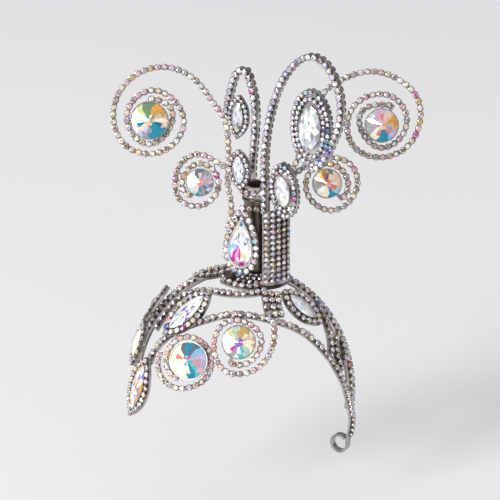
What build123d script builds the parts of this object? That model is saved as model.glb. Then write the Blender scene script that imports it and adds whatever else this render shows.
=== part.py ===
"""Openwork rhinestone hair ornament: a domed band with a neck, loops and spirals.

Origin: axis of the neck tube where it stands on the crown of the band.
+X is the wearer's left, +Y points away from the viewer, +Z is up.  Millimetres.
"""
import math
import os

from build123d import *

# ---- driving dimensions -------------------------------------------------
CHAIN_PITCH = 3.45  # cup chain on the loops, spirals and rims
CHAIN_CUP = 3.3  # cup diameter of that chain
FINE_PITCH = 2.75  # finer chain on the medallions and the shield
FINE_CUP = 2.6
CUP_HEIGHT = 1.3  # wall of a cup, without the stone that rises above it
CUP_FLOOR = 0.35
STONE_RISE = 0.55  # how far a small stone rises above its cup
STONE_INSET = 0.12  # how far the stone edge stays inside the cup
SETTING_H = 1.9  # settings of the medallions and of the pear stone
STRIP_T = 1.2  # thickness of the flat metal strips
STRIP_W = 3.0  # width of the loop and rim strips
WIRE_W = 2.2  # backing strip of the spirals
WIRE_T = 1.0
BEZEL_WALL = 0.5  # wall of the settings round the large stones
TIP_STRETCH = 1.25  # pointed ovals grow faster at their tips
LEDGE = 0.6  # width of the ledge under a stone

DOME = Vector(-7.25, 0, -63.8)  # centre of the domed band
DOME_X, DOME_Y, DOME_Z = 57.0, 50.0, 65.6  # its half sizes
SHEET_TILT = 20.0  # tilt of the sheet on which the band is drawn

TUBE_R = 6.5
TUBE_BORE = 5.5
TUBE_TOP = 42.0
COLLAR_R = 6.9
COLLAR_LIP = 7.5
COLLAR_LOW = 41.2
COLLAR_TOP = 46.5
NECK_RING_Z = 39.3
SADDLE_R = 17.0  # saddle plate under the neck
SADDLE_BEND = 43.0
SADDLE_Z = 1.3
SADDLE_ROWS = (8.6, 11.3, 14.0)  # radii of the cup rows on the saddle
SHIELD_R = 15.5  # curved shield right of the neck
SHIELD_X = 1.5
SHIELD_LOW = -2.2
SHIELD_HIGH = 37.0

# ---- shared helpers -----------------------------------------------------
chains = {}  # region -> list of (fine or large, location)
nodes = {}  # file name -> shape


def keep(name, shape):
    shape.label = name
    nodes[name] = shape


def facing(x, y, z, yaw=0.0, lean=0.0, roll=0.0):
    """Plane at a point, facing the viewer, then turned, leaned back and rolled."""
    upright = Plane(origin=(x, y, z), x_dir=(1, 0, 0), z_dir=(0, -1, 0)).location
    return Plane(upright * Rot(0, yaw, 0) * Rot(-lean, 0, 0) * Rot(0, 0, roll))


def rolled(plane, roll):
    return Plane(plane.location * Rot(0, 0, roll))


def raised(plane, height):
    return plane.offset(height)


def settle(region, plane, x, y, height, side=1, fine=False, heading=(1, 0)):
    """Put one cup of chain on a flat strip; side -1 puts it on the rear face."""
    point = plane.from_local_coords((x, y, height))
    along = plane.x_dir * heading[0] + plane.y_dir * heading[1]
    seat = Plane(origin=point, x_dir=along, z_dir=plane.z_dir * side)
    chains.setdefault(region, []).append((fine, seat.location))


def run_chain(region, curve, plane, height, fine=False, both=0.0, inset=0.5, closed=False):
    """Space cups evenly along a curve drawn on a plane."""
    pitch = FINE_PITCH if fine else CHAIN_PITCH
    length = curve.length
    if closed:
        count = round(length / pitch)
        stops = [length * i / count for i in range(count)]
    else:
        count = max(1, round((length - 2 * inset * pitch) / pitch))
        step = (length - 2 * inset * pitch) / count
        stops = [inset * pitch + step * i for i in range(count + 1)]
    for stop in stops:
        p = curve.position_at(stop, position_mode=PositionMode.LENGTH)
        t = curve.tangent_at(stop, position_mode=PositionMode.LENGTH)
        settle(region, plane, p.X, p.Y, height, 1, fine, (t.X, t.Y))
        if both:
            settle(region, plane, p.X, p.Y, height - both, -1, fine, (t.X, t.Y))


def polar(knots):
    """Knots given as angle and radius, turned into points."""
    places = []
    for angle, radius in knots:
        a = math.radians(angle)
        places.append((radius * math.cos(a), radius * math.sin(a)))
    return places


def pointed(half_length, half_width, sides=16):
    """Corners of a pointed oval along x, for cut stones."""
    corners = []
    for i in range(sides):
        a = 2 * math.pi * i / sides
        y = half_width * math.sin(a) * (0.78 + 0.22 * abs(math.sin(a)))
        corners.append((half_length * math.cos(a), y))
    return corners


def pear(half_length, half_width, sides=20):
    """Corners of a drop with its point at +y."""
    corners = []
    for i in range(sides):
        a = 2 * math.pi * i / sides
        wide = 1.18 * math.sin(a) * abs(math.sin(a / 2)) ** 0.9
        corners.append((half_width * wide, half_length * math.cos(a)))
    return corners


def cut_stone(name, plane, corners, depth, crown, table, base=0.12):
    """Faceted stone: back cone, girdle and bevelled crown, lying on a plane."""
    levels = [(0.0, base), (depth, 1.0), (depth + 0.3, 1.0), (depth + 0.3 + crown, table)]
    with BuildPart() as stone:
        for level, size in levels:
            with BuildSketch(raised(plane, level)):
                Polygon(*[(x * size, y * size) for x, y in corners], align=None)
        loft(ruled=True)
    keep(name, stone.part)


def round_corners(radius, sides=16):
    return polar([(360 * (i + 0.5) / sides, radius) for i in range(sides)])


# ---- spirals ------------------------------------------------------------
def spiral(name, plane, knots, stem, region, stone_r, arm_angle, inward):
    """One flat spiral of backed chain with a round stone in its own setting."""
    curve = Spline(*(stem + polar(knots)))
    reach = knots[-1][1] if inward else knots[0][1]
    setting_r = stone_r + BEZEL_WALL
    with BuildPart() as frame:
        with BuildSketch(raised(plane, -WIRE_T)):
            with BuildLine():
                add(curve)
            trace(line_width=WIRE_W)
        extrude(amount=WIRE_T)
        with BuildSketch(raised(plane, -WIRE_T)):
            with Locations((0, 0)):
                Circle(setting_r)
            with Locations(Rot(0, 0, arm_angle) * Pos((setting_r + reach) / 2, 0)):
                Rectangle(reach - setting_r + 1.6, 1.8)
        extrude(amount=WIRE_T)
        with BuildSketch(plane):
            Circle(setting_r)
            Circle(stone_r + 0.05, mode=Mode.SUBTRACT)
        extrude(amount=0.42 * stone_r + 0.3)
    keep(name + "_frame", frame.part)
    run_chain(region, curve, plane, 0)
    cut_stone(name + "_rivoli", plane, round_corners(stone_r), 0.42 * stone_r, 0.40 * stone_r, 0.06)


UPPER_LEFT = facing(-52.85, 6.0, 77.2, lean=SHEET_TILT)
UPPER_RIGHT = facing(61.5, 10.0, 73.5, lean=SHEET_TILT)
LOWER_LEFT = facing(-28.1, -4.4, 48.7, lean=SHEET_TILT)
LOWER_RIGHT = facing(34.75, 5.0, 45.0, lean=SHEET_TILT)
FRONT_RIGHT = facing(-9.0, -35.0, -23.6, lean=SHEET_TILT)
FRONT_LEFT = facing(-33.0, -31.0, -35.0, yaw=-12.0, lean=SHEET_TILT)

spiral(
    "upper_left_spiral",
    UPPER_LEFT,
    [(38, 30.4), (77, 27.2), (113, 22.9), (156, 19.0), (222, 17.0), (290, 16.3), (362, 16.8),
     (449, 14.9), (537, 11.3), (630, 11.5), (723, 11.3), (814, 10.9)],
    [(37.9, -53), (39.8, -39), (38.4, -31), (38.9, -21), (38.6, -11), (36.9, 0.4), (30.9, 9.4)],
    "back_spirals", 9.0, 90, True,
)
spiral(
    "upper_right_spiral",
    UPPER_RIGHT,
    [(132, 30.1), (100, 27.1), (72, 24.4), (34, 22.0), (-3, 18.3), (-32, 16.7), (-90, 15.7),
     (-144, 17.2), (-216, 16.6), (-293, 15.1), (-347, 12.8), (-385, 11.3), (-453, 11.0),
     (-542, 10.8), (-659, 11.2)],
    [(-55, -36), (-51, -34), (-45, -24), (-39.5, -12), (-36, 0), (-32, 10.5), (-27.3, 17.5)],
    "back_spirals", 8.0, 60, True,
)
spiral(
    "lower_left_spiral",
    LOWER_LEFT,
    [(31, 14.5), (50, 13.0), (90, 13.8), (124, 13.6), (175, 12.2), (218, 12.9), (264, 11.8),
     (335, 9.5), (394, 8.9), (454, 9.3), (541, 8.9), (596, 8.1)],
    [],
    "back_spirals", 6.5, 236, True,
)
spiral(
    "lower_right_spiral",
    LOWER_RIGHT,
    [(76, 13.2), (40, 14.9), (10, 15.2), (-20, 14.6), (-79, 13.6), (-160, 10.9), (-230, 10.2),
     (-301, 9.8), (-345, 10.2), (-407, 10.4)],
    [(-29.8, -4), (-24, -1), (-18, 3.5), (-11, 8.3), (-4, 12)],
    "back_spirals", 7.0, 313, True,
)
spiral(
    "front_right_spiral",
    FRONT_RIGHT,
    [(17, 18.3), (-15, 16.4), (-69, 15.7), (-120, 15.5), (-155, 13.1), (-194, 11.9), (-232, 11.6),
     (-273, 10.5), (-349, 11.2), (-407, 11.0), (-474, 11.1)],
    [(16.4, 11.2)],
    "front_spirals", 8.0, 246, True,
)
spiral(
    "front_left_spiral",
    FRONT_LEFT,
    [(-118, 10.8), (-180, 12.0), (-240, 12.0), (-271, 11.5), (-341, 10.8), (-400, 11.8),
     (-440, 13.0), (-476, 15.5), (-502, 16.6), (-530, 16.3), (-552, 15.4)],
    [],
    "front_spirals", 9.0, -118, False,
)


# ---- loops, double sided strips -----------------------------------------
def loop(name, plane, knots, region, bare_below, bare_side):
    """A bent strip with chain on both faces; one face is bare beside the collar."""
    curve = Spline(*knots)
    with BuildPart() as strip:
        with BuildSketch(raised(plane, -STRIP_T / 2)):
            with BuildLine():
                add(curve)
            trace(line_width=STRIP_W)
        extrude(amount=STRIP_T)
    keep(name, strip.part)
    before = len(chains.get(region, []))
    run_chain(region, curve, plane, STRIP_T / 2, both=STRIP_T)
    fresh = chains[region][before:]
    del chains[region][before:]
    for kind, seat in fresh:
        front = Plane(seat).z_dir.Y < 0
        if seat.position.Z > bare_below or front == (bare_side == "rear"):
            chains[region].append((kind, seat))


LEFT_LOOP = facing(-1.0, 7.5, 46.0, yaw=-35)
RIGHT_LOOP = facing(4.0, -7.0, 30.0, yaw=-35)
loop(
    "left_loop", LEFT_LOOP,
    [(-16.4, 25.0), (-16.6, 32.0), (-15.2, 41.0), (-12.4, 50.3), (-8.6, 55.4), (-5.8, 55.6),
     (-2.5, 50.5), (0.1, 41.0), (0.4, 28.0), (-0.7, 15.0), (-1.5, 6.0), (-0.8, -3.0)],
    "loops", COLLAR_TOP + 3.0, "front",
)
loop(
    "right_loop", RIGHT_LOOP,
    [(0, 2.9), (-0.2, 22.5), (0.0, 33.0), (1.2, 45.0), (4.4, 59.0), (10.5, 74.0), (16.5, 82.0),
     (22.6, 86.8), (28.0, 88.3), (34.5, 86.3), (39.5, 80.8), (43.2, 72.0), (44.2, 63.7),
     (42.9, 55.5), (39.7, 47.3), (35.4, 38.8), (31.0, 33.3), (26.2, 31.7)],
    "loops", COLLAR_TOP + 2.0, "rear",
)


# ---- leaves and medallions ----------------------------------------------
def oval(half_length, half_width, grow):
    """Pointed oval face, both sides round arcs, grown evenly past the given size."""
    a = half_length + grow * TIP_STRETCH
    b = half_width + grow
    with BuildSketch() as shape:
        with BuildLine():
            ThreePointArc((-a, 0), (0, b), (a, 0))
            ThreePointArc((a, 0), (0, -b), (-a, 0))
        make_face()
    return shape.sketch


def ring_face(half_length, half_width, outside, inside):
    return oval(half_length, half_width, outside) - oval(half_length, half_width, inside)


def leaf(name, plane, half_length, half_width, region, stone=True, fine=False, height=1.5):
    """Pointed leaf: plate ring with a row of chain round a navette stone in a setting."""
    cup = FINE_CUP if fine else CHAIN_CUP
    mid = cup / 2 + BEZEL_WALL + 0.2
    edge = mid + cup / 2
    with BuildPart() as frame:
        with BuildSketch(raised(plane, -STRIP_T)):
            add(ring_face(half_length, half_width, edge - 0.4, -LEDGE))
        extrude(amount=STRIP_T)
        if stone:
            with BuildSketch(plane):
                add(ring_face(half_length, half_width, BEZEL_WALL, 0.05))
            extrude(amount=height)
    keep(name + "_frame", frame.part)
    a = half_length + mid * TIP_STRETCH
    b = half_width + mid
    for sign in (1, -1):
        side = ThreePointArc((-a, 0), (0, sign * b), (a, 0))
        count = round(side.length / (FINE_PITCH if fine else CHAIN_PITCH))
        for i in range(count + (1 if sign > 0 else 0)):
            if sign < 0 and i == 0:
                continue
            stop = side.length * i / count
            p = side.position_at(stop, position_mode=PositionMode.LENGTH)
            t = side.tangent_at(stop, position_mode=PositionMode.LENGTH)
            settle(region, plane, p.X, p.Y, 0, 1, fine, (t.X, t.Y))
    if stone:
        cut_stone(name + "_navette", plane, pointed(half_length, half_width), height - 0.3, 1.3, 0.55)


def medallion(name, plane, stone_half, rings, turn, region, fill=()):
    """Oval plate, chain rings on both faces and a navette in a setting at the front."""
    outer = rings[-1]
    stone_plane = rolled(raised(plane, STRIP_T / 2), turn)
    with BuildPart() as frame:
        with BuildSketch(raised(plane, -STRIP_T / 2)):
            Ellipse(outer[0] + FINE_CUP / 2 - 0.3, outer[1] + FINE_CUP / 2 - 0.3)
        extrude(amount=STRIP_T)
        with BuildSketch(stone_plane):
            add(ring_face(stone_half[1], stone_half[0], BEZEL_WALL, 0.05))
        extrude(amount=SETTING_H)
    keep(name + "_plate", frame.part)
    for ring_x, ring_y in rings:
        ring = Ellipse(ring_x, ring_y).wire()
        run_chain(region, ring, plane, STRIP_T / 2, fine=True, both=STRIP_T, closed=True)
    for x, y in fill:
        settle(region, plane, x, y, STRIP_T / 2, 1, True)
    cut_stone(
        name + "_navette", stone_plane, pointed(stone_half[1], stone_half[0]), 1.6, 1.6, 0.5
    )


UPPER_MEDALLION = facing(26.3, -22.7, 82.7, yaw=-35)
LOWER_MEDALLION = facing(13.5, -16.6, 48.7, yaw=-35, roll=7)
medallion("upper_medallion", UPPER_MEDALLION, (6.0, 11.6), [(7.9, 14.7), (10.3, 18.2)], 83, "medallions")
medallion(
    "lower_medallion", LOWER_MEDALLION, (4.0, 7.6), [(6.6, 12.9)], 92, "medallions",
    fill=[(0, 10.1), (2.7, 9.0), (-2.7, 9.0), (0, -10.1), (2.7, -9.0), (-2.7, -9.0)],
)

LEFT_PETAL = facing(-9.0, 11.6, 77.6, yaw=-35, roll=88)
LOW_PETAL = facing(-8.5, -4.5, 55.5, yaw=-35, roll=94)
leaf("left_petal", LEFT_PETAL, 7.6, 3.1, "medallions", fine=True)
leaf("low_petal", LOW_PETAL, 6.6, 3.3, "medallions", fine=True)


# ---- the domed band -----------------------------------------------------
def pressed(across, up):
    """Point and normal of the dome under a spot drawn on the tilted sheet."""
    tilt = math.radians(SHEET_TILT)
    out = Vector(0, -math.cos(tilt), math.sin(tilt))
    on_sheet = Vector(across, up * math.sin(tilt), up * math.cos(tilt)) - DOME
    half = (DOME_X, DOME_Y, DOME_Z)
    p = [v / h for v, h in zip((on_sheet.X, on_sheet.Y, on_sheet.Z), half)]
    d = [v / h for v, h in zip((out.X, out.Y, out.Z), half)]
    a = sum(v * v for v in d)
    b = sum(v * w for v, w in zip(p, d))
    c = sum(v * v for v in p) - 1
    step = (-b + math.sqrt(max(0.0, b * b - a * c))) / a
    point = on_sheet + out * step
    normal = Vector(point.X / DOME_X**2, point.Y / DOME_Y**2, point.Z / DOME_Z**2)
    return point + DOME, normal.normalized()


def strip_on_dome(name, knots, width=STRIP_W, sections=12, region="band", rows=(0.0,), sink=0.0):
    """Strip bent over the dome along a drawn curve, with rows of chain on it."""
    drawn = Spline(*knots) if len(knots) > 2 else Line(*knots)

    def place(share):
        spot = drawn.position_at(share)
        ahead = drawn.position_at(min(1.0, share + 0.01))
        behind = drawn.position_at(max(0.0, share - 0.01))
        point, normal = pressed(spot.X, spot.Y)
        along = (pressed(ahead.X, ahead.Y)[0] - pressed(behind.X, behind.Y)[0]).normalized()
        return point, normal, along

    with BuildPart() as strip:
        for i in range(sections + 1):
            point, normal, along = place(i / sections)
            middle = point - normal * (STRIP_T / 2 + sink)
            with BuildSketch(Plane(origin=middle, x_dir=along.cross(normal), z_dir=along)):
                Rectangle(width, STRIP_T)
        loft()
    keep(name, strip.part)
    stations = [place(i / 100)[0] for i in range(101)]
    walked = [0.0]
    for a, b in zip(stations, stations[1:]):
        walked.append(walked[-1] + (b - a).length)
    count = max(1, round(walked[-1] / CHAIN_PITCH - 1))
    for row in rows:
        for i in range(count + 1):
            target = walked[-1] * (0.5 + i) / (count + 1)
            share = next(k for k, w in enumerate(walked) if w >= target) / 100
            point, normal, along = place(share)
            seat = point + along.cross(normal) * row - normal * sink
            frame = Plane(origin=seat, x_dir=along, z_dir=normal)
            chains.setdefault(region, []).append((False, frame.location))


strip_on_dome(
    "front_rim",
    [(-53.5, -45.0), (-49.5, -37.5), (-43.5, -31.3), (-33.5, -26.2), (-23.5, -23.0), (-11.5, -20.7),
     (4.5, -23.0), (17.0, -26.8), (24.3, -30.8), (31.7, -37.5), (38.3, -46.2), (44.0, -58.0),
     (47.2, -71.5)],
    sections=18,
)
strip_on_dome(
    "middle_rim",
    [(-50.5, -28.5), (-46.0, -21.5), (-41.5, -16.0), (-37.5, -12.6), (-31.0, -10.0), (-24.5, -9.3),
     (-13.5, -10.7), (-4.5, -10.8), (4.5, -9.0)],
)
strip_on_dome("crest_crescent", [(-17.5, -3.6), (-12.0, -6.0), (-5.0, -7.4), (3.5, -5.6)], sections=6)
strip_on_dome(
    "neck_column", [(6.6, -9.6), (7.4, -15.2), (9.0, -22.4)],
    width=9.6, sections=4, rows=(-3.3, 0.0, 3.3),
)
strip_on_dome("right_strut", [(28.0, -14.5), (32.5, -21.5), (35.6, -30.0), (36.6, -40.5)], sections=6)


def rim_place(angle):
    """Point of the arched rear rim with the dome normal and the way along it."""
    lean = DOME_Y**2 / DOME_Z**2 * math.tan(math.radians(SHEET_TILT))
    top = 1 / math.sqrt(lean**2 / DOME_Y**2 + 1 / DOME_Z**2)
    a = math.radians(angle)
    x, z = DOME_X * math.cos(a), top * math.sin(a)
    along = Vector(-DOME_X * math.sin(a), lean * top * math.cos(a), top * math.cos(a))
    normal = Vector(x / DOME_X**2, lean * z / DOME_Y**2, z / DOME_Z**2)
    return Vector(x, lean * z, z) + DOME, normal.normalized(), along.normalized()


RIM_FROM, RIM_TO = -9.0, 168.0
RIM_SECTIONS = 18
RIM_TURN = 50.0  # how far the rim's face is turned from the dome normal to the front
BAND_DEPTH = 6.5
tilt_out = Vector(0, -math.cos(math.radians(SHEET_TILT)), math.sin(math.radians(SHEET_TILT)))


def rim_frame(angle):
    point, normal, along = rim_place(angle)
    turn = math.radians(RIM_TURN)
    face = (normal * math.cos(turn) + tilt_out * math.sin(turn)).normalized()
    return point - normal * 1.8, normal, face, along


with BuildPart() as rear_rim:
    for i in range(RIM_SECTIONS + 1):
        at, outward, face, along = rim_frame(RIM_FROM + (RIM_TO - RIM_FROM) * i / RIM_SECTIONS)
        with BuildSketch(Plane(origin=at - face * STRIP_T / 2, x_dir=along.cross(face), z_dir=along)):
            Rectangle(STRIP_W, STRIP_T)
    loft()
keep("rear_rim", rear_rim.part)

with BuildPart() as rear_band:
    for i in range(RIM_SECTIONS + 1):
        at, outward, face, along = rim_frame(RIM_FROM + (RIM_TO - RIM_FROM) * i / RIM_SECTIONS)
        middle = at - outward * 2.2 - tilt_out * (BAND_DEPTH / 2 + 1.0)
        with BuildSketch(Plane(origin=middle, x_dir=along.cross(outward), z_dir=along)):
            Rectangle(BAND_DEPTH, STRIP_T)
    loft()
keep("rear_band", rear_band.part)

rim_length = 0.0
RIM_STEPS = 400  # steps in which the cups are paced out along the rim
last = rim_frame(RIM_FROM)[0]
next_cup = CHAIN_PITCH / 2
for i in range(1, RIM_STEPS + 1):
    at, outward, face, along = rim_frame(RIM_FROM + (RIM_TO - RIM_FROM) * i / RIM_STEPS)
    rim_length += (at - last).length
    last = at
    if rim_length >= next_cup:
        seat = Plane(origin=at, x_dir=along, z_dir=face)
        chains.setdefault("band", []).append((False, seat.location))
        next_cup += CHAIN_PITCH


def leaf_on_dome(name, tip_a, tip_b, half_width, lift=1.2, stone=True):
    """Leaf laid against the dome between two spots drawn on the sheet."""
    a, b = pressed(*tip_a)[0], pressed(*tip_b)[0]
    middle, normal = pressed((tip_a[0] + tip_b[0]) / 2, (tip_a[1] + tip_b[1]) / 2)
    chord = (b - a).normalized()
    normal = (normal - chord * normal.dot(chord)).normalized()
    plane = Plane(origin=middle + normal * lift, x_dir=chord, z_dir=normal)
    leaf(name, plane, (b - a).length / 2, half_width, "band", stone=stone)


leaf_on_dome("left_leaf_1", (-42.0, -28.5), (-25.5, -13.0), 4.6)
leaf_on_dome("left_leaf_2", (-46.2, -11.8), (-53.2, -21.8), 4.0)
leaf_on_dome("left_leaf_3", (-56.0, -29.0), (-60.0, -43.0), 3.6)
leaf_on_dome("pendant_leaf", (-53.1, -46.0), (-59.8, -67.7), 4.4, lift=2.5)
leaf_on_dome("right_leaf", (15.2, -12.8), (27.7, -23.5), 4.0)
leaf_on_dome("open_leaf", (39.5, -34.0), (40.8, -45.0), 1.4, stone=False)
leaf_on_dome("crest_leaf", (-27.0, -2.5), (-13.0, 0.3), 1.3, stone=False)

# ---- neck ---------------------------------------------------------------
with BuildPart() as tube:
    with BuildSketch():
        Circle(TUBE_R)
        Circle(TUBE_BORE, mode=Mode.SUBTRACT)
    extrude(amount=TUBE_TOP)
    with BuildSketch(Plane.XY.offset(NECK_RING_Z - 0.5)):
        Circle(COLLAR_LIP)
        Circle(TUBE_R - 0.2, mode=Mode.SUBTRACT)
    extrude(amount=1.0)
keep("neck_tube", tube.part)

with BuildPart() as collar:
    with BuildSketch(Plane.XZ):
        with BuildLine():
            Polyline(
                (TUBE_R, COLLAR_LOW), (COLLAR_LIP, COLLAR_LOW), (COLLAR_LIP, COLLAR_LOW + 0.6),
                (COLLAR_R, COLLAR_LOW + 0.6), (COLLAR_R, COLLAR_TOP - 0.7),
                (COLLAR_LIP, COLLAR_TOP - 0.7), (COLLAR_LIP, COLLAR_TOP), (TUBE_BORE, COLLAR_TOP),
                (TUBE_BORE, TUBE_TOP), (TUBE_R, TUBE_TOP), close=True,
            )
        make_face()
    revolve(axis=Axis.Z)
keep("collar", collar.part)

COLLAR_CUPS = 13
for i in range(COLLAR_CUPS):
    turn = 2 * math.pi * (i + 0.5) / COLLAR_CUPS
    way = Vector(math.sin(turn), -math.cos(turn), 0)
    seat = Plane(origin=way * COLLAR_R + Vector(0, 0, 43.8), x_dir=(0, 0, 1), z_dir=way)
    chains.setdefault("neck", []).append((False, seat.location))
for degrees in (-30, -2, 26):
    turn = math.radians(degrees)
    way = Vector(math.sin(turn), -math.cos(turn), 0)
    seat = Plane(origin=way * TUBE_R + Vector(0, 0, 35.6), x_dir=(0, 0, 1), z_dir=way)
    chains.setdefault("neck", []).append((False, seat.location))



def on_bend(r, bend_r):
    """Point of the saddle's arched section at a distance from the tube axis."""
    return (r, SADDLE_Z - SADDLE_BEND + math.sqrt(bend_r**2 - r**2))


SADDLE_MID = (TUBE_R + SADDLE_R) / 2
with BuildPart() as saddle:
    with BuildSketch(Plane.XZ):
        with BuildLine():
            top = ThreePointArc(*[on_bend(r, SADDLE_BEND) for r in (TUBE_R, SADDLE_MID, SADDLE_R)])
            low = ThreePointArc(
                *[on_bend(r, SADDLE_BEND - STRIP_T) for r in (SADDLE_R, SADDLE_MID, TUBE_R)]
            )
            Line(top @ 1, low @ 0)
            Line(low @ 1, top @ 0)
        make_face()
    revolve(axis=Axis.Z)
keep("crest_saddle", saddle.part)

for ring_r in SADDLE_ROWS:
    span = (-110, 50) if ring_r < 12 else (-40, -2)
    count = round(math.radians(span[1] - span[0]) * ring_r / FINE_PITCH)
    for i in range(count + 1):
        turn = math.radians(span[0] + (span[1] - span[0]) * i / count)
        way = Vector(math.sin(turn), -math.cos(turn), 0)
        rise = math.sqrt(SADDLE_BEND**2 - ring_r**2)
        spot = way * ring_r + Vector(0, 0, SADDLE_Z - SADDLE_BEND + rise)
        tilt = (way * ring_r + Vector(0, 0, rise)).normalized()
        seat = Plane(origin=spot, x_dir=way.cross(tilt), z_dir=tilt)
        chains.setdefault("neck", []).append((True, seat.location))

SHIELD_FROM, SHIELD_TO = 4.0, 74.0  # degrees from the front towards the right
with BuildPart() as shield:
    with BuildSketch(Plane.XY.offset(SHIELD_LOW)):
        with BuildLine():
            start = SHIELD_FROM - 90
            span = SHIELD_TO - SHIELD_FROM
            CenterArc((SHIELD_X, 0), SHIELD_R - STRIP_T / 2, start, span)
        trace(line_width=STRIP_T)
    extrude(amount=SHIELD_HIGH - SHIELD_LOW)
keep("neck_shield", shield.part)
for column in range(5):
    turn = math.radians(10.0 + 11.6 * column)
    way = Vector(math.sin(turn), -math.cos(turn), 0)
    for row in range(13):
        spot = Vector(SHIELD_X, 0, 0.8 + 2.9 * row) + way * SHIELD_R
        seat = Plane(origin=spot, x_dir=(0, 0, 1), z_dir=way)
        chains.setdefault("neck", []).append((True, seat.location))

# ---- pear medallion on the front of the neck ----------------------------
PEAR = facing(-7.4, -14.2, 22.3, yaw=-25, lean=5)
PEAR_STONE = (11.3, 6.9)
PEAR_SEAT = Plane(PEAR.location * Pos(0, -1.7, 0))
with BuildPart() as pear_frame:
    with BuildSketch(raised(PEAR, -STRIP_T)):
        with Locations((0, 1.6)):
            with BuildLine():
                Spline(*(pear(16.6, 9.6) + [(0, 16.6)]))
            make_face()
    extrude(amount=STRIP_T)
    with BuildSketch(PEAR_SEAT):
        with BuildLine():
            Spline(*(pear(PEAR_STONE[0] + 1.4, PEAR_STONE[1] + 0.6) + [(0, PEAR_STONE[0] + 1.4)]))
        make_face()
        with BuildLine():
            Polyline(*pear(PEAR_STONE[0] + 0.1, PEAR_STONE[1] + 0.05), close=True)
        make_face(mode=Mode.SUBTRACT)
    extrude(amount=SETTING_H)
keep("pear_frame", pear_frame.part)
pear_row = Spline(*(pear(16.2, 8.8) + [(0, 16.2)]))
run_chain("neck", pear_row, PEAR, 0, closed=True)
for height in (9.0, 11.9):
    settle("neck", PEAR, 0, height + 2.0, 0, 1, True)
cut_stone("pear_stone", PEAR_SEAT, pear(*PEAR_STONE), 1.6, 2.0, 0.55)

# ---- curled hairpin eye at the end of the right leg ----------------------
EYE_X, EYE_Z, EYE_R = -4.6, -92.6, 4.4  # in the turned plane of the curl
LEG_DEPTH = 3.4
CURL = facing(46.6, -3.0, 0.0, yaw=-30)
with BuildPart() as eye:
    with BuildSketch(raised(CURL, -LEG_DEPTH / 2)):
        with BuildLine():
            leg = Spline(
                (0.2, -71.0), (1.4, -77.0), (1.0, -84.0), (EYE_X + EYE_R, EYE_Z),
                tangents=[(0.2, -1), (0, -1)],
            )
            CenterArc((EYE_X, EYE_Z), EYE_R, 0, -318)
        trace(line_width=STRIP_T)
    extrude(amount=LEG_DEPTH)
keep("leg_eye", eye.part)
LEG_CUPS = 6
for i in range(LEG_CUPS):
    stop = 2.0 + FINE_PITCH * i
    p = leg.position_at(stop, position_mode=PositionMode.LENGTH)
    t = leg.tangent_at(stop, position_mode=PositionMode.LENGTH)
    out = CURL.x_dir * -t.Y + CURL.y_dir * t.X
    spot = CURL.from_local_coords((p.X, p.Y, 0)) + out * (STRIP_T / 2)
    seat = Plane(origin=spot, x_dir=CURL.z_dir, z_dir=out)
    chains.setdefault("band", []).append((True, seat.location))


# ---- solder stays ---------------------------------------------------------
STAY_R = 0.9
STAYS = [
    ("crest_leaf_frame", "crest_crescent"), ("front_left_spiral_frame", "front_rim"),
    ("left_leaf_2_frame", "rear_rim"), ("left_leaf_3_frame", "left_leaf_2_frame"),
    ("pendant_leaf_frame", "front_rim"), ("lower_medallion_plate", "neck_shield"),
    ("right_leaf_frame", "neck_column"), ("right_strut", "front_rim"),
    ("right_strut", "right_leaf_frame"), ("open_leaf_frame", "front_rim"),
    ("rear_band", "rear_rim"),
]
for name, neighbour in STAYS:
    here, there = nodes[name].closest_points(nodes[neighbour])
    way = (there - here).normalized()
    run = (there - here).length + 0.8 + 0.3  # set 0.8 into its own frame, 0.3 into the other
    stay = extrude(Plane(origin=here - way * 0.8, z_dir=way) * Circle(STAY_R), run)
    keep(name, nodes[name] + stay)


# ---- cups and small stones ----------------------------------------------
def cup_and_stone(diameter):
    """One cup of chain and the stone that fills it, standing on the origin."""
    r = diameter / 2
    stone_r = r - STONE_INSET
    with BuildPart() as cup:
        with BuildSketch(Plane.XZ):
            with BuildLine():
                Polyline(
                    (0, 0), (r, 0), (r, CUP_HEIGHT), (stone_r, CUP_HEIGHT),
                    (0.35 * r, CUP_FLOOR), (0, CUP_FLOOR), close=True,
                )
            make_face()
        revolve(axis=Axis.Z)
    with BuildPart() as stone:
        with BuildSketch(Plane.XZ):
            with BuildLine():
                Polyline(
                    (0, CUP_FLOOR), (0.30 * r, CUP_FLOOR), (stone_r - 0.04, CUP_HEIGHT),
                    (stone_r - 0.04, CUP_HEIGHT + 0.12), (0.62 * r, CUP_HEIGHT + STONE_RISE),
                    (0, CUP_HEIGHT + STONE_RISE), close=True,
                )
            make_face()
        revolve(axis=Axis.Z)
    return cup.part.solid(), stone.part.solid()


large = cup_and_stone(CHAIN_CUP)
fine = cup_and_stone(FINE_CUP)
for region, places in chains.items():
    cups, stones = [], []
    for is_fine, location in places:
        cup, stone = fine if is_fine else large
        cups.append(cup.moved(location))
        stones.append(stone.moved(location))
    keep(region + "_cups", Compound(children=cups))
    keep(region + "_stones", Compound(children=stones))

# ---- files ---------------------------------------------------------------
os.makedirs("parts", exist_ok=True)
for name, shape in nodes.items():
    export_step(shape, "parts/" + name + ".step")
    print(name, len(shape.solids()), round(shape.volume, 1))
print(len(nodes), "files;", sum(len(p) for p in chains.values()), "cups")
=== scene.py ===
import math
import random

import bpy
import numpy as np
from mathutils import Matrix, Vector
from mathutils.kdtree import KDTree


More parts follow.
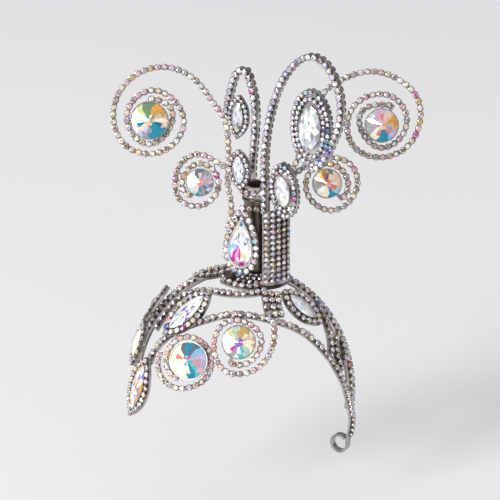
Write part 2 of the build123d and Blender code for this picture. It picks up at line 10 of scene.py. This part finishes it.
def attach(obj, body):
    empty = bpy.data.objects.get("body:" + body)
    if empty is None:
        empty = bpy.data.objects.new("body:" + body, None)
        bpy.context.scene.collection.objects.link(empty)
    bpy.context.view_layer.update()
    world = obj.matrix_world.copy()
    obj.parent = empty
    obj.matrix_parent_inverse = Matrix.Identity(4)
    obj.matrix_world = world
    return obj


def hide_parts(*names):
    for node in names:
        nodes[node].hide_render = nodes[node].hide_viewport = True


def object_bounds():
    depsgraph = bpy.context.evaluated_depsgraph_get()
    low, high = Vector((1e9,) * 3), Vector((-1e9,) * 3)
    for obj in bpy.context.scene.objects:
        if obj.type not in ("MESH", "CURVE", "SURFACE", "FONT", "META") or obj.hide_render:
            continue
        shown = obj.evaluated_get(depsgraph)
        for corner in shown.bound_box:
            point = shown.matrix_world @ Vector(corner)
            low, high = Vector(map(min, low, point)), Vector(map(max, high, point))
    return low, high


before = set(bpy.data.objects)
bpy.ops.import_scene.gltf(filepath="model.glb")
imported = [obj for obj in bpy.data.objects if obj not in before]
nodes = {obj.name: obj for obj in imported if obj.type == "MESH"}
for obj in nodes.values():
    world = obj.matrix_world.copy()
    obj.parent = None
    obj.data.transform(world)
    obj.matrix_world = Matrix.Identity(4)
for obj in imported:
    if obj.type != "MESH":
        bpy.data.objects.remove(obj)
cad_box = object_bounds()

scene = bpy.context.scene
scene.view_settings.view_transform = "Standard"

VIEW_UP = math.radians(20.0)
TO_VIEWER = np.array([0.0, -math.cos(VIEW_UP), math.sin(VIEW_UP)])
SAME_LEVEL = 1e-5  # points this close in height count as one level


# ---- materials -----------------------------------------------------------
def principled(name):
    m = bpy.data.materials.new(name)
    m.use_nodes = True
    return m, m.node_tree, m.node_tree.nodes["Principled BSDF"]


def noise(tree, place, scale, detail):
    """Noise in object space, as the node whose outputs are used."""
    cloud = tree.nodes.new("ShaderNodeTexNoise")
    cloud.inputs["Scale"].default_value = scale
    cloud.inputs["Detail"].default_value = detail
    tree.links.new(place.outputs["Object"], cloud.inputs["Vector"])
    return cloud


def ramp(tree, source, low, low_at, high, high_at):
    """Colour ramp from low to high, driven by a noise."""
    tone = tree.nodes.new("ShaderNodeValToRGB")
    ends = tone.color_ramp.elements
    ends[0].position, ends[0].color = low_at, (*low, 1)
    ends[1].position, ends[1].color = high_at, (*high, 1)
    tree.links.new(source.outputs["Fac"], tone.inputs["Fac"])
    return tone


def plated(name, dark, light, rough, bump=0.15):
    """Plated metal: cloudy tone, finer grain in roughness, scratches in bump."""
    m, tree, bsdf = principled(name)
    make, link = tree.nodes.new, tree.links.new
    place = make("ShaderNodeTexCoord")
    tone = ramp(tree, noise(tree, place, 120.0, 6.0), dark, 0.35, light, 0.68)
    link(tone.outputs["Color"], bsdf.inputs["Base Color"])
    grain = noise(tree, place, 900.0, 3.0)
    spread = make("ShaderNodeMapRange")
    spread.inputs["To Min"].default_value = rough - 0.09
    spread.inputs["To Max"].default_value = rough + 0.12
    link(grain.outputs["Fac"], spread.inputs["Value"])
    link(spread.outputs["Result"], bsdf.inputs["Roughness"])
    rub = make("ShaderNodeBump")
    rub.inputs["Strength"].default_value = bump
    rub.inputs["Distance"].default_value = 0.0002
    link(grain.outputs["Fac"], rub.inputs["Height"])
    link(rub.outputs["Normal"], bsdf.inputs["Normal"])
    bsdf.inputs["Metallic"].default_value = 1.0
    return m


def crystal(name, colour, glow):
    """Foiled crystal facet with a thin bright coat; a faint noise darkens its colour in patches as
    painted inner reflections, and the facet also shines faintly in its own colour as painted light.
    """
    m, tree, bsdf = principled(name)
    place = tree.nodes.new("ShaderNodeTexCoord")
    # darker end of the noise ramp: painted inner reflections of the facet
    painted_reflection_tone = [c * 0.72 for c in colour]
    tone = ramp(tree, noise(tree, place, 700.0, 4.0), painted_reflection_tone, 0.3, colour, 0.62)
    tree.links.new(tone.outputs["Color"], bsdf.inputs["Base Color"])
    bsdf.inputs["Metallic"].default_value = 0.5
    bsdf.inputs["Roughness"].default_value = 0.10
    bsdf.inputs["Coat Weight"].default_value = 0.6
    bsdf.inputs["Coat Roughness"].default_value = 0.03
    # faint glow in the facet's own colour, though it is no lamp: painted light
    bsdf.inputs["Emission Color"].default_value = (*colour, 1)
    bsdf.inputs["Emission Strength"].default_value = glow
    return m


frame_metal = plated("frame_metal", (0.34, 0.32, 0.30), (0.66, 0.64, 0.62), 0.30)
cup_metal = plated("cup_metal", (0.15, 0.13, 0.115), (0.46, 0.42, 0.38), 0.28, bump=0.1)
neck_metal = plated("neck_metal", (0.09, 0.075, 0.06), (0.26, 0.225, 0.195), 0.34)
# the hook's metal is a darker copy of the plated frame metal, standing in for the shade on it: painted
# shade
hook_metal = plated("hook_metal", (0.26, 0.25, 0.24), (0.52, 0.51, 0.50), 0.26)

COLOURS = {
    "white": (0.93, 0.93, 0.94),
    "snow": (1.0, 1.0, 1.0),
    "cream": (0.93, 0.92, 0.70),
    "lime": (0.72, 0.74, 0.36),
    "moss": (0.16, 0.28, 0.14),
    "yellow": (0.86, 0.72, 0.12),
    "gold": (0.62, 0.40, 0.12),
    "orange": (0.92, 0.42, 0.07),
    "peach": (0.90, 0.66, 0.50),
    "salmon": (0.85, 0.26, 0.22),
    "pink": (0.78, 0.44, 0.52),
    "magenta": (0.62, 0.03, 0.40),
    "lavender": (0.60, 0.55, 0.80),
    "violet": (0.27, 0.18, 0.62),
    "blue": (0.02, 0.10, 0.50),
    "sky": (0.25, 0.58, 0.85),
    "ice": (0.66, 0.78, 0.88),
    "teal": (0.0, 0.27, 0.42),
    "aqua": (0.10, 0.55, 0.55),
    "mint": (0.50, 0.66, 0.55),
    "slate": (0.12, 0.17, 0.22),
    "grey": (0.34, 0.33, 0.35),
    "brown": (0.22, 0.14, 0.09),
}
PALE = ("white", "snow", "cream")
palette = {
    # pale stones are given a stronger glow than the rest: painted light
    name: crystal("crystal_" + name, colour, glow=0.08 if name in PALE else 0.05)
    for name, colour in COLOURS.items()
}
names = list(palette)


def mesh_object(name, verts, faces, indices, materials):
    mesh = bpy.data.meshes.new(name)
    mesh.from_pydata(verts, [], faces)
    for m in materials:
        mesh.materials.append(m)
    mesh.polygons.foreach_set("material_index", indices)
    mesh.update()
    piece = bpy.data.objects.new(name, mesh)
    scene.collection.objects.link(piece)
    return piece


def crystal_object(name, verts, faces, picks):
    """Mesh whose faces take the crystal colours named in picks."""
    return mesh_object(name, verts, faces, [names.index(p) for p in picks], list(palette.values()))


def stands_for(piece, node):
    """The piece rides with the body and takes the place of one CAD node."""
    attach(piece, "root")
    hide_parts(node)


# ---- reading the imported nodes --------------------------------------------
def points_of(node):
    mesh = nodes[node].data
    co = np.empty(len(mesh.vertices) * 3)
    mesh.vertices.foreach_get("co", co)
    return co.reshape(-1, 3)


def unit(vector):
    return vector / np.linalg.norm(vector)


def box_middle(points):
    return (points.min(0) + points.max(0)) / 2


def tree_of(points):
    tree = KDTree(len(points))
    for i, point in enumerate(points):
        tree.insert(Vector(point), i)
    tree.balance()
    return tree


def islands(node):
    """Unique points of every loose solid in a node."""
    mesh = nodes[node].data
    keys, where = np.unique(np.round(points_of(node), 6), axis=0, return_inverse=True)
    where = where.reshape(-1)
    parent = list(range(len(keys)))

    def root(i):
        while parent[i] != i:
            parent[i] = parent[parent[i]]
            i = parent[i]
        return i

    for edge in mesh.edges:
        a, b = root(where[edge.vertices[0]]), root(where[edge.vertices[1]])
        parent[a] = b
    groups = {}
    for i in range(len(keys)):
        groups.setdefault(root(i), []).append(i)
    return [keys[g] for g in groups.values()]


def seats_of(region):
    """Base point, axis and radius of each cup; the stone in it shows the open end."""
    stones = islands(region + "_stones")
    tree = tree_of([box_middle(stone) for stone in stones])
    seats = []
    for cup in islands(region + "_cups"):
        _, i, _ = tree.find(Vector(box_middle(cup)))
        spread = cup - cup.mean(0)
        _, _, axes = np.linalg.svd(spread, full_matrices=False)
        axis = axes[2]
        if (stones[i].mean(0) - cup.mean(0)) @ axis < 0:
            axis = -axis
        along = cup @ axis
        low = along.min()
        base = cup[along < low + SAME_LEVEL].mean(0)
        base = base + axis * (low - base @ axis)
        radius = np.linalg.norm(spread - np.outer(spread @ axis, axis), axis=1).max()
        seats.append((base, axis, radius))
    return seats


# ---- one cup and the stone in it -------------------------------------------
REGIONS = sorted(n[:-5] for n in nodes if n.endswith("_cups"))
CUP_H = 0.0013  # wall of a cup
CUP_SIDES = 20
STONE_SHARE = 0.915  # stone radius over cup radius
PRONG_WIDE = 0.17  # half width of a prong over the cup radius
PRONG_TAPER = 0.22


def ring(radius, height, sides, turn=0.0):
    steps = [2 * math.pi * (i + turn) / sides for i in range(sides)]
    return [(radius * math.cos(a), radius * math.sin(a), height) for a in steps]


def chaton(r):
    """Round brilliant crown seen in a cup: table, stars, kites and girdle facets."""
    top, mid, low = CUP_H + 0.00055, CUP_H + 0.00034, CUP_H + 0.00002
    verts = ring(0.50 * r, top, 8) + ring(0.79 * r, mid, 8, 0.5)
    verts += ring(r, low, 16) + ring(r * 0.9, low - 0.0003, 16)
    faces = [tuple(range(8))]
    for i in range(8):
        j = (i + 1) % 8
        k = 16 + 2 * i
        ahead = 16 + (2 * i + 2) % 16
        faces.append((i, 8 + i, j))
        faces.append((j, 8 + i, ahead, 8 + j))
        faces.append((8 + i, k, k + 1))
        faces.append((8 + i, k + 1, ahead))
        faces.append((k + 1, k, k + 16, k + 17))
        faces.append((ahead, k + 1, k + 17, ahead + 16))
    return np.array(verts), faces


def add_prong(verts, faces, r, angle):
    """Prong that climbs the cup wall and bends in over the stone."""
    h = CUP_H
    outer = [(r, h - 0.0006), (1.02 * r, h + 0.0001), (0.93 * r, h + 0.00038), (0.72 * r, h + 0.0005)]
    inner = [(0.93 * r, h - 0.0006), (0.95 * r, h), (0.87 * r, h + 0.00022), (0.70 * r, h + 0.00035)]
    ca, sa = math.cos(angle), math.sin(angle)
    start = len(verts)
    for n, pair in enumerate(zip(outer, inner)):
        wide = PRONG_WIDE * r * (1.0 - PRONG_TAPER * n / 3)
        for radius, height in pair:
            for s in (-wide, wide):
                verts.append((radius * ca - s * sa, radius * sa + s * ca, height))
    for b in (start, start + 4, start + 8):
        faces += [
            (b, b + 1, b + 5, b + 4), (b + 3, b + 2, b + 6, b + 7),
            (b + 2, b, b + 4, b + 6), (b + 1, b + 3, b + 7, b + 5),
        ]
    b = start + 12
    faces.append((b, b + 1, b + 3, b + 2))


def cup_shape(r):
    """Pressed cup: foot, wall, rolled lip, dark inside, and four prongs over the stone."""
    h, sides = CUP_H, CUP_SIDES
    levels = [
        (0.80 * r, 0.0), (0.93 * r, 0.00025), (0.97 * r, 0.0006), (r, h - 0.0002),
        (0.985 * r, h), (0.93 * r, h), (0.90 * r, h - 0.0004), (0.3 * r, 0.00045),
    ]
    verts, faces = [], []
    for radius, height in levels:
        verts += ring(radius, height, sides)
    for k in range(len(levels) - 1):
        for i in range(sides):
            j = (i + 1) % sides
            faces.append((k * sides + i, k * sides + j, (k + 1) * sides + j, (k + 1) * sides + i))
    faces.append(tuple(reversed(range(sides))))
    faces.append(tuple(range((len(levels) - 1) * sides, len(levels) * sides)))
    for q in range(4):
        add_prong(verts, faces, r, math.pi / 4 + q * math.pi / 2)
    return np.array(verts), faces


# ---- cup chain ---------------------------------------------------------------
# how often each colour is drawn for a facet, by region; the drawn colours stand for what the facets
# reflect: painted reflections
MIXES = {
    "back_spirals": "white*4 cream*3 pink*5 peach*2 grey*6 brown*4 lavender*2 lime*3 ice*1 gold*1",
    "front_spirals": "white*4 cream*3 pink*5 peach*3 grey*5 brown*3 lavender*3 lime*2 salmon*2",
    "loops": "white*6 snow*2 lavender*6 ice*3 grey*6 slate*2 pink*2 brown*2 cream*1",
    "medallions": "white*6 snow*1 lavender*5 ice*3 grey*6 slate*2 pink*2 brown*2 cream*1",
    "neck": "white*5 cream*3 grey*6 lavender*3 pink*3 ice*2 brown*3 gold*1 lime*1",
    "band": "white*5 cream*3 grey*6 lavender*3 pink*3 brown*3 ice*1 lime*2",
}
# strong colours that a few stones flash: painted glints
SPARKS = {
    "back_spirals": ("pink", "magenta", "orange", "lavender", "gold", "pink"),
    "front_spirals": ("magenta", "pink", "blue", "pink", "orange"),
    "loops": ("violet", "blue", "magenta", "sky", "violet"),
    "medallions": ("blue", "sky", "magenta", "violet", "teal"),
    "neck": ("magenta", "violet", "sky", "gold"),
    "band": ("magenta", "sky", "salmon", "blue", "yellow"),
}
SPARK_CHANCE = 0.09
TIP = 0.07  # largest tilt of a small stone in its cup


def mix_of(region):
    bag = []
    for item in MIXES[region].split():
        name, count = item.split("*")
        bag += [name] * int(count)
    return bag


def neighbours(seats, tree, i):
    """Heading to the nearest cup of the same row, and the later cups to link to."""
    base, axis, r = seats[i]
    heading, linked = None, []
    for co, j, d in tree.find_n(Vector(base), 6):
        if j == i or d > 2.55 * r:
            continue
        other = seats[j]
        way = np.array(co) - base
        way = way - axis * (way @ axis)
        if other[1] @ axis < 0.7 or np.linalg.norm(way) < 0.8 * r:
            continue
        if heading is None:
            heading = unit(way)
        if j > i and len(linked) < 2:
            linked.append(other[0])
    if heading is None:
        heading = unit(np.cross(axis, (0.31, 0.44, 0.84)))
    return heading, linked


LINK_FACES = [(0, 1, 3, 2), (4, 6, 7, 5), (0, 4, 5, 1), (2, 3, 7, 6), (0, 2, 6, 4), (1, 5, 7, 3)]


def link_bar(base, end, axis, r):
    """Corners of the bar between two cups."""
    run = end - base
    across = unit(np.cross(axis, unit(run)))
    corners = []
    for share in (0.35, 0.65):
        for height in (0.00022, 0.00062):
            for side in (-0.18 * r, 0.18 * r):
                corners.append(base + run * share + axis * height + across * side)
    return np.array(corners)


def facet_picks(rng, bag, sparks, count):
    """Colours of one small stone's facets, standing for what the stone reflects: painted reflections;
    now and then a spark as a painted glint, else its own or a drawn one.
    """
    spark = rng.choice(sparks) if rng.random() < SPARK_CHANCE else None
    own = rng.choice(bag)
    picks = []
    for _ in range(count):
        if spark and rng.random() < 0.55:
            picks.append(spark)
        elif rng.random() < 0.35:
            picks.append(own)
        else:
            picks.append(rng.choice(bag))
    return picks


class Heap:
    """Vertices and faces of many small shapes, gathered for one mesh."""

    def __init__(self):
        self.verts, self.faces, self.count = [], [], 0

    def add(self, verts, faces):
        self.verts.append(verts)
        self.faces += [tuple(v + self.count for v in f) for f in faces]
        self.count += len(verts)

    def points(self):
        return np.concatenate(self.verts).tolist()


def chain(region):
    """All cups of a region as one mesh, and all their stones as another."""
    seats = seats_of(region)
    tree = tree_of([base for base, axis, r in seats])
    rng = random.Random("chain " + region)
    bag = mix_of(region)
    metal, gems, picks, shapes = Heap(), Heap(), [], {}
    for i, (base, axis, r) in enumerate(seats):
        size = round(r, 5)
        if size not in shapes:
            shapes[size] = (cup_shape(r), chaton(r * STONE_SHARE))
        (cup_points, cup_faces), (gem_points, gem_faces) = shapes[size]
        heading, linked = neighbours(seats, tree, i)
        turn = np.stack([heading, np.cross(axis, heading), axis], axis=1)
        metal.add(cup_points @ turn.T + base, cup_faces)
        for end in linked:
            metal.add(link_bar(base, end, axis, r), LINK_FACES)
        spin = rng.random() * math.pi
        tip = Matrix.Rotation(rng.uniform(-TIP, TIP), 3, "X") @ Matrix.Rotation(spin, 3, "Z")
        tilted = (gem_points - (0, 0, CUP_H)) @ np.array(tip).T + (0, 0, CUP_H)
        gems.add(tilted @ turn.T + base, gem_faces)
        picks += facet_picks(rng, bag, SPARKS[region], len(gem_faces))
    plain = [0] * len(metal.faces)
    cups = mesh_object(region + "_chain_cups", metal.points(), metal.faces, plain, [cup_metal])
    stones = crystal_object(region + "_chain_stones", gems.points(), gems.faces, picks)
    stands_for(cups, region + "_cups")
    stands_for(stones, region + "_stones")


for region in REGIONS:
    chain(region)


# ---- large cut stones -------------------------------------------------------
def stone_frame(node):
    """Seat of a large stone: middle of its base, turn matrix, girdle points and heights."""
    mesh = nodes[node].data
    co = points_of(node)
    normals = np.array([p.normal for p in mesh.polygons])
    areas = np.array([p.area for p in mesh.polygons])
    _, _, axes = np.linalg.svd(co - co.mean(0), full_matrices=False)
    axis, long = axes[2], axes[0]
    for close in (0.96, 0.995):
        facing = normals @ axis
        flat = np.abs(facing) > close
        axis = unit((normals[flat] * (areas[flat] * np.sign(facing[flat]))[:, None]).sum(0))
    if axis @ TO_VIEWER < 0:
        axis = -axis
    long = unit(long - axis * (long @ axis))
    if long[2] < 0:
        long = -long
    turn = np.stack([long, np.cross(axis, long), axis], axis=1)
    heights = co @ axis
    low = heights.min()
    wall = {v for p, f in zip(mesh.polygons, normals @ axis) if abs(f) < 0.05 for v in p.vertices}
    sides = heights[sorted(wall)] - low
    depth, girdle, top = sides.min(), sides.max(), heights.max() - low
    base = co[heights < low + 2 * SAME_LEVEL].mean(0)
    edge = (co[np.abs(heights - low - girdle) < 2 * SAME_LEVEL] - base) @ turn
    edge = np.unique(np.round(edge, 5), axis=0)
    return base, turn, edge, (float(depth), float(girdle), float(top))


def back_rings(depth, girdle):
    """Rings of the back of a stone: foot, then the two edges of the girdle."""
    return [(0.12, 0.0, 0.0), (1.0, depth, 0.0), (1.0, girdle, 0.0)]


def fan_stone(node, name, corner, sides, rings, tip, seat, shade):
    """Stone from rings of corners, each a scale, a height and a shift round.

    shade(k, i, half) names the colour of a facet in front of ring k, a painted reflection; the back is
    grey.
    """
    verts, faces, picks = [], [], []
    for scale, height, shift in rings:
        for i in range(sides):
            x, y = corner(i + shift)
            verts.append((x * scale, y * scale, height))

    def pick(k, i, half):
        return ("grey", "white")[k] if k <= 1 else shade(k, i, half)

    for k in range(len(rings) - 1):
        shift = rings[k + 1][2] - rings[k][2]
        for i in range(sides):
            j = (i + 1) % sides
            a, b = k * sides + i, k * sides + j
            c, d = (k + 1) * sides + i, (k + 1) * sides + j
            if shift == 0:
                faces.append((a, b, d, c))
                picks.append(pick(k, i, 0))
                continue
            faces += [(a, b, c), (b, d, c)] if shift > 0 else [(a, d, c), (a, b, d)]
            picks += [pick(k, i, 0), pick(k, i, 1)]
    last = (len(rings) - 1) * sides
    verts.append((0, 0, tip))
    for i in range(sides):
        faces.append((last + i, last + (i + 1) % sides, len(verts) - 1))
        picks.append(pick(len(rings) - 1, i, 0))
    faces.append(tuple(reversed(range(sides))))
    picks.append("grey")
    base, turn = seat
    placed = np.array(verts) @ turn.T + base
    stands_for(crystal_object(name, placed.tolist(), faces, picks), node)


# colours of the front facets, from the right and then anticlockwise, and of the heart; they are painted
# reflections of the stone's inner facets
RIVOLIS = {
    "upper_left_spiral_rivoli": (
        "peach gold orange moss moss lime cream snow snow white lavender grey teal teal teal peach",
        "orange yellow aqua snow peach teal"),
    "upper_right_spiral_rivoli": (
        "orange orange peach lavender pink lavender snow snow snow cream cream teal teal sky "
        "lavender peach",
        "peach peach salmon peach"),
    "lower_left_spiral_rivoli": (
        "pink lavender grey slate slate white white snow snow mint mint teal grey slate lavender grey",
        "salmon peach lavender orange sky"),
    "lower_right_spiral_rivoli": (
        "peach peach peach slate gold yellow cream snow snow snow cream cream teal teal sky peach",
        "salmon salmon peach white"),
    "front_right_spiral_rivoli": (
        "peach cream gold gold mint lime cream snow snow snow grey white aqua mint cream peach",
        "magenta violet aqua violet sky violet"),
    "front_left_spiral_rivoli": (
        "lavender sky slate teal slate cream cream cream snow cream snow cream teal aqua pink lavender",
        "salmon teal aqua pink sky magenta"),
}
ROUND_SIDES = 16


def round_stone(node, facets, hearts):
    """Round stone whose facets run from the girdle almost to the heart."""
    base, turn, edge, (depth, girdle, top) = stone_frame(node)
    axis = turn[:, 2]
    right = unit(np.array([1.0, 0.0, 0.0]) - axis * axis[0])
    turn = np.stack([right, np.cross(axis, right), axis], axis=1)
    radius = np.linalg.norm(edge[:, :2], axis=1).max()
    rng = random.Random(node)

    def shade(k, i, half):
        own = facets[i]
        if k == 2:
            return own if half == 0 or rng.random() < 0.6 else facets[(i + 1) % ROUND_SIDES]
        if k == 3:
            return own if rng.random() < 0.85 else rng.choice(hearts)
        return rng.choice(hearts) if rng.random() < 0.8 else own

    def corner(i):
        a = 2 * math.pi * i / ROUND_SIDES
        return radius * math.cos(a), radius * math.sin(a)

    rise = top - girdle
    rings = back_rings(depth, girdle)
    rings += [(0.72, girdle + rise * 0.30, 0.5), (0.30, girdle + rise * 0.72, 0.5)]
    name = node.replace("_rivoli", "_round_stone")
    fan_stone(node, name, corner, ROUND_SIDES, rings, top, (base, turn), shade)


for node, (facets, hearts) in RIVOLIS.items():
    round_stone(node, facets.split(), hearts.split())

# colours drawn for the facets of each navette: painted reflections
FANCY = {
    "upper_medallion_navette": "white ice mint cream lavender white snow grey",
    "lower_medallion_navette": "white cream mint ice white snow lavender",
    "left_petal_navette": "white ice lavender grey white cream",
    "low_petal_navette": "white ice grey lavender snow",
    "left_leaf_1_navette": "snow white mint white cream violet snow",
    "left_leaf_2_navette": "white mint ice white mint",
    "left_leaf_3_navette": "snow cream white white",
    "pendant_leaf_navette": "white snow lavender violet white orange grey",
    "right_leaf_navette": "snow white cream ice lavender white",
}
NAVETTE_SIDES = 12
CROWN_KNEE = 0.62  # height of the bend in the crown of a navette or drop


def navette(node, shades):
    """Pointed oval stone with a small table."""
    base, turn, edge, (depth, girdle, top) = stone_frame(node)
    half_length, half_width = np.abs(edge[:, 0]).max(), np.abs(edge[:, 1]).max()
    rng = random.Random(node)

    def shade(k, i, half):
        return rng.choice(shades)

    def corner(i):
        a = 2 * math.pi * i / NAVETTE_SIDES
        wide = math.sin(a) * (0.78 + 0.22 * abs(math.sin(a)))
        return half_length * math.cos(a), half_width * wide

    knee = girdle + (top - girdle) * CROWN_KNEE
    rings = back_rings(depth, girdle) + [(0.74, knee, 0.5), (0.42, top, 0.0)]
    name = node + "_stone"
    fan_stone(node, name, corner, NAVETTE_SIDES, rings, top, (base, turn), shade)


for node, shades in FANCY.items():
    navette(node, shades.split())

# facets of the drop, from its foot anticlockwise as seen from the front; their colours are painted
# reflections
DROP = (
    "lime white snow white snow white teal grey cream cream ice sky lavender magenta pink magenta"
).split()
DROP_REST = ("white", "grey", "ice", "snow")


def drop_stone():
    """The drop on the neck keeps its CAD outline, read from its own girdle."""
    base, turn, edge, (depth, girdle, top) = stone_frame("pear_stone")
    order = np.argsort(np.arctan2(edge[:, 1], edge[:, 0]))
    outline = edge[order][:, :2]
    rng = random.Random("pear")

    def corner(i):
        step = i / len(DROP) * len(outline)
        low = int(math.floor(step))
        part = step - low
        return outline[low % len(outline)] * (1 - part) + outline[(low + 1) % len(outline)] * part

    def shade(k, i, half):
        return DROP[i] if rng.random() < 0.8 else rng.choice(DROP_REST)

    knee = girdle + (top - girdle) * CROWN_KNEE
    rings = back_rings(depth, girdle) + [(0.80, knee, 0.5), (0.52, top, 0.0), (0.26, top, 0.5)]
    fan_stone("pear_stone", "pear_drop_stone", corner, len(DROP), rings, top, (base, turn), shade)


drop_stone()

# ---- CAD metal ---------------------------------------------------------------
# the leg eye takes the darker hook metal, whose darkening is painted shade
FINISHES = {"neck_tube": neck_metal, "crest_saddle": neck_metal, "leg_eye": hook_metal}
for name, node in nodes.items():
    if name.endswith(("_cups", "_stones", "_rivoli", "_navette")) or name == "pear_stone":
        continue
    node.data.materials.clear()
    node.data.materials.append(FINISHES.get(name, frame_metal))


# ---- stage, lights and camera ---------------------------------------------------
def pale_floor(height, half=6.0):
    """Large plain floor of faintly clouded pale paper."""
    m, tree, bsdf = principled("pale_floor")
    place = tree.nodes.new("ShaderNodeTexCoord")
    paper = noise(tree, place, 5.0, 2.0)
    shade = ramp(tree, paper, (0.80, 0.80, 0.815), 0.0, (0.83, 0.83, 0.84), 1.0)
    tree.links.new(shade.outputs["Color"], bsdf.inputs["Base Color"])
    bsdf.inputs["Roughness"].default_value = 0.9
    corners = [(-half, -half), (half, -half), (half, half), (-half, half)]
    verts = [(x, y, height) for x, y in corners]
    mesh_object("pale_floor", verts, [(0, 1, 2, 3)], [0], [m])


def look(obj, place, aim):
    obj.location = place
    obj.rotation_euler = (Vector(aim) - Vector(place)).to_track_quat("-Z", "Y").to_euler()
    scene.collection.objects.link(obj)


def lamp(name, place, size, watts):
    data = bpy.data.lights.new(name, "AREA")
    data.shape = "SQUARE"
    data.size = size
    data.energy = watts
    look(bpy.data.objects.new(name, data), place, (0, 0, 0))


def soft_room():
    """World light that fades from the upper left to the lower right."""
    world = bpy.data.worlds.new("studio")
    scene.world = world
    world.use_nodes = True
    tree = world.node_tree
    around = tree.nodes.new("ShaderNodeTexCoord")
    toward = tree.nodes.new("ShaderNodeVectorMath")
    toward.operation = "DOT_PRODUCT"
    toward.inputs[1].default_value = (-0.50, -0.30, 0.81)
    tree.links.new(around.outputs["Generated"], toward.inputs[0])
    fade = tree.nodes.new("ShaderNodeMapRange")
    fade.inputs["From Min"].default_value = -0.6
    fade.inputs["To Min"].default_value = 0.10
    fade.inputs["To Max"].default_value = 0.90
    tree.links.new(toward.outputs["Value"], fade.inputs["Value"])
    background = tree.nodes["Background"]
    tree.links.new(fade.outputs["Result"], background.inputs["Strength"])
    background.inputs["Color"].default_value = (0.98, 0.98, 1.0, 1)


FLOOR_GAP = 0.03  # floor below the lowest point of the part
DISTANCE = 1.4
FIELD = 0.25  # width seen at the object's distance
SENSOR = 36.0
AIM_RIGHT, AIM_UP = -0.0035, 0.011  # from the origin, in the camera's own plane

pale_floor(cad_box[0][2] - FLOOR_GAP)
lamp("key", (-3.0, -3.2, 2.1), 1.5, 205)
lamp("fill", (2.6, -3.4, 1.2), 1.5, 8)
soft_room()
lens = bpy.data.cameras.new("camera")
lens.sensor_width = SENSOR
lens.lens = SENSOR * DISTANCE / FIELD
camera = bpy.data.objects.new("camera", lens)
aim = Vector((AIM_RIGHT, math.sin(VIEW_UP) * AIM_UP, math.cos(VIEW_UP) * AIM_UP))
look(camera, aim + Vector(TO_VIEWER) * DISTANCE, aim)
bpy.context.scene.camera = camera
